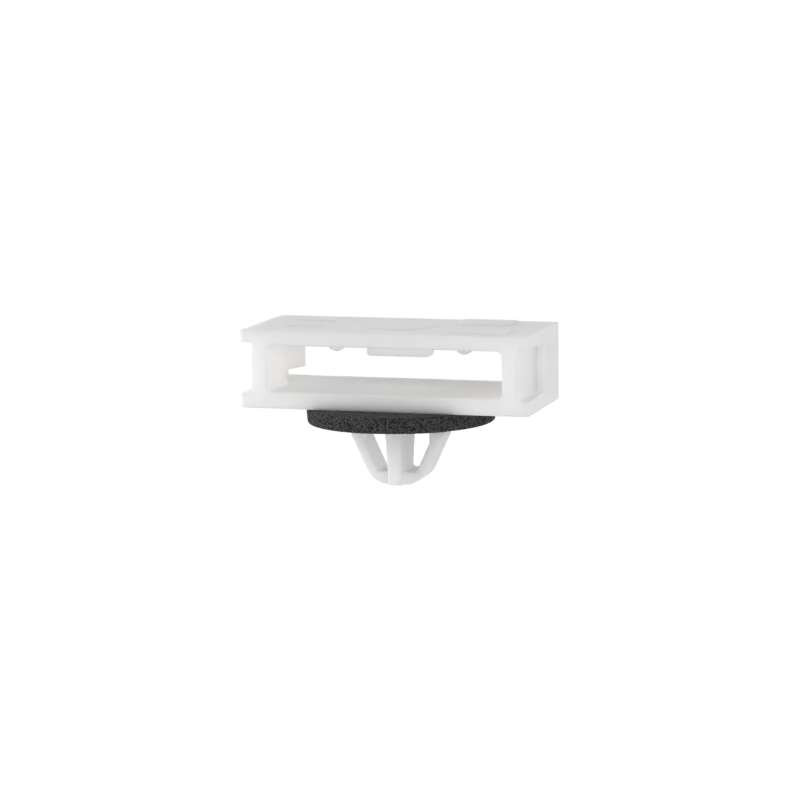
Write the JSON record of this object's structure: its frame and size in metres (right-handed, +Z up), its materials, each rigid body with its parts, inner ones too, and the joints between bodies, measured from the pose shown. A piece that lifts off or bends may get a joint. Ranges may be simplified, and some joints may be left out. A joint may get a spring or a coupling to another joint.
{
  "type": "retaining clip",
  "caption": "Open rectangular box clip in natural nylon, grooved at both ends to slide on a moulding's rails, with an arrow-shaped push-in stud and a black foam sealing washer.",
  "frame": {"origin": "on the stud's axis, in the plane of the panel that the clip is pushed into, which is the foam washer's underside", "axes": "+X along the box's length, +Y from the open front of the end grooves to the rear, +Z up, away from the panel"},
  "size_m": [0.0362, 0.023, 0.0194],
  "materials": {
    "natural_nylon": "natural uncoloured nylon, moulded, milky and slightly translucent, satin",
    "black_foam": "black open-cell foam, die cut, matt and porous"
  },
  "bodies": {
    "root": {"clip_body": "natural_nylon", "foam_washer": "black_foam"}
  },
  "joints": []
}
